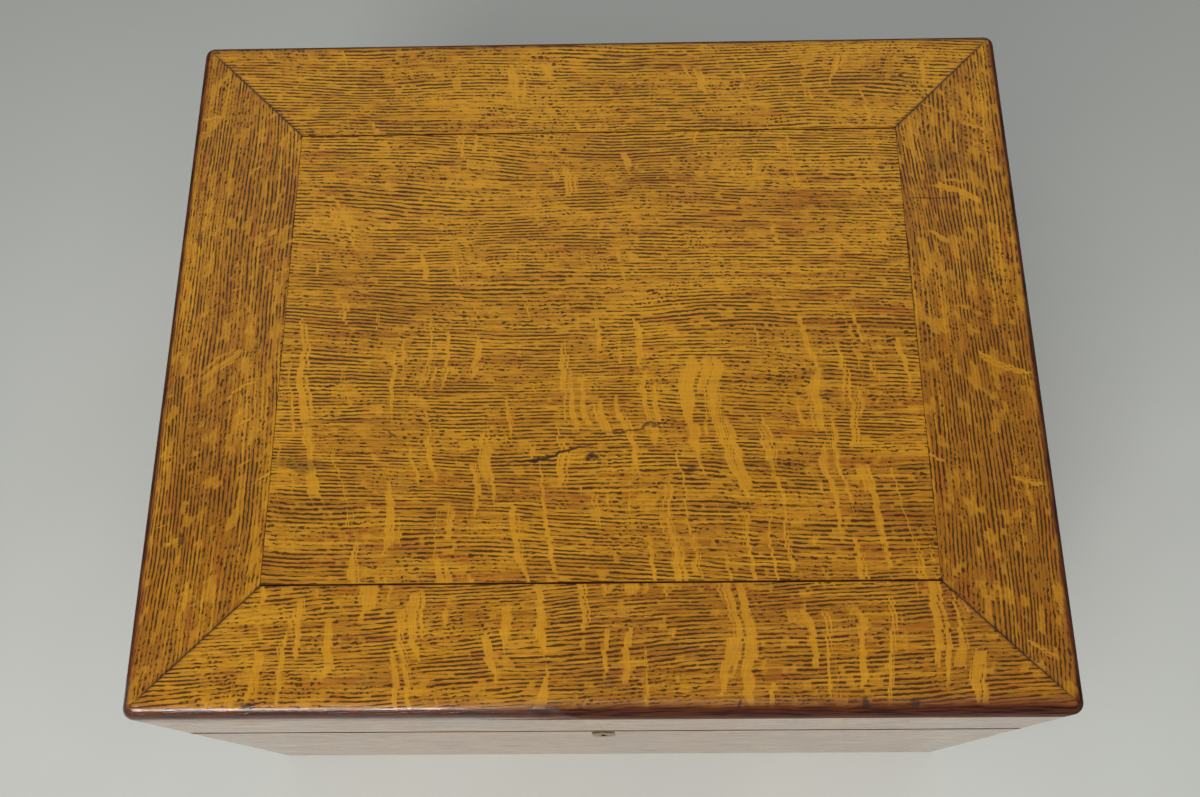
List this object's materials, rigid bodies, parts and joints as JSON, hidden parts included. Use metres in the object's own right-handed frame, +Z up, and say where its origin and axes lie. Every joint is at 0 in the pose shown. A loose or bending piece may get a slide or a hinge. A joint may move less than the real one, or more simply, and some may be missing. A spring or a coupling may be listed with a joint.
{
  "type": "silverware chest",
  "caption": "Hinged oak chest for table silver with a framed flat lid, box lock, slotted stay, lift-out tray, notched racks and drop handles.",
  "frame": {"origin": "middle of the underside of the whole chest, hinge barrels and handles included", "axes": "+X to the right, +Y to the back where the hinges are, +Z up"},
  "size_m": [0.464, 0.3661, 0.276],
  "materials": {
    "oak": "glossy old lacquer on quarter-sawn oak",
    "plain_oak": "thin satin varnish",
    "baize": "napped wool",
    "brass": "aged, lightly tarnished",
    "steel": "dull"
  },
  "bodies": {
    "case": {"case_front": "oak", "case_back": "oak", "case_left": "oak", "case_right": "oak", "case_bottom": "plain_oak", "case_splines": "plain_oak", "bottom_screws": "steel", "tray_bearer_front": "plain_oak", "tray_bearer_back": "plain_oak", "lining_floor": "baize", "lining_front": "baize", "lining_back": "baize", "lining_left": "baize", "lining_right": "baize", "well_racks": "baize", "hinge_case_leaf_left": "brass", "hinge_case_leaf_right": "brass", "hinge_pins": "brass", "case_brass_screws": "brass", "lock_plate": "brass", "lock_cap": "steel", "lock_pins": "steel", "escutcheon": "brass", "escutcheon_pins": "brass", "stay_case_plate": "brass", "stay_guide_stud": "brass", "handle_plate_left": "brass", "handle_plate_right": "brass", "handle_posts": "brass", "handle_nuts": "steel"},
    "lid": {"lid_rail_front": "oak", "lid_rail_back": "oak", "lid_rail_left": "oak", "lid_rail_right": "oak", "lid_panel": "oak", "lid_skirt_front": "oak", "lid_skirt_back": "oak", "lid_skirt_left": "oak", "lid_skirt_right": "oak", "lid_splines": "plain_oak", "lid_pad": "baize", "hinge_lid_leaf_left": "brass", "hinge_lid_leaf_right": "brass", "lid_brass_screws": "brass", "link_plate": "brass", "stay_lid_plate": "brass", "stay_pivot_stud": "brass"},
    "stay_arm": {"stay_arm": "brass"},
    "tray": {"tray_front": "plain_oak", "tray_back": "plain_oak", "tray_left": "plain_oak", "tray_right": "plain_oak", "tray_bottom": "plain_oak", "tray_divider": "plain_oak", "tray_lining": "baize", "tray_racks": "baize"},
    "lock_bolt": {"lock_bolt": "brass"},
    "bail_left": {"bail_left": "brass"},
    "bail_right": {"bail_right": "brass"}
  },
  "joints": [
    {"name": "lid_hinge", "type": "hinge", "parent": "case", "child": "lid", "pos_m": [0, 0.17965, 0.192], "axis": [-1, 0, 0], "range_deg": [0, 95]},
    {"name": "stay_swing", "type": "hinge", "parent": "lid", "child": "stay_arm", "pos_m": [0.197, 0.10064, 0.20452], "axis": [-1, 0, 0], "range_deg": [-47.5, 0]},
    {"name": "tray_lift", "type": "slide", "parent": "case", "child": "tray", "axis": [0, 0, 1], "range_m": [0, 0.054]},
    {"name": "lock_throw", "type": "slide", "parent": "case", "child": "lock_bolt", "axis": [1, 0, 0], "range_m": [0, 0.006]},
    {"name": "bail_left_swing", "type": "hinge", "parent": "case", "child": "bail_left", "pos_m": [-0.227, -0.00335, 0.128], "axis": [0, 1, 0], "range_deg": [0, 170]},
    {"name": "bail_right_swing", "type": "hinge", "parent": "case", "child": "bail_right", "pos_m": [0.227, -0.00335, 0.128], "axis": [0, -1, 0], "range_deg": [0, 170]}
  ],
  "couplings": [
    {"joint": "stay_swing", "follows": "lid_hinge", "ratio": -0.5}
  ]
}
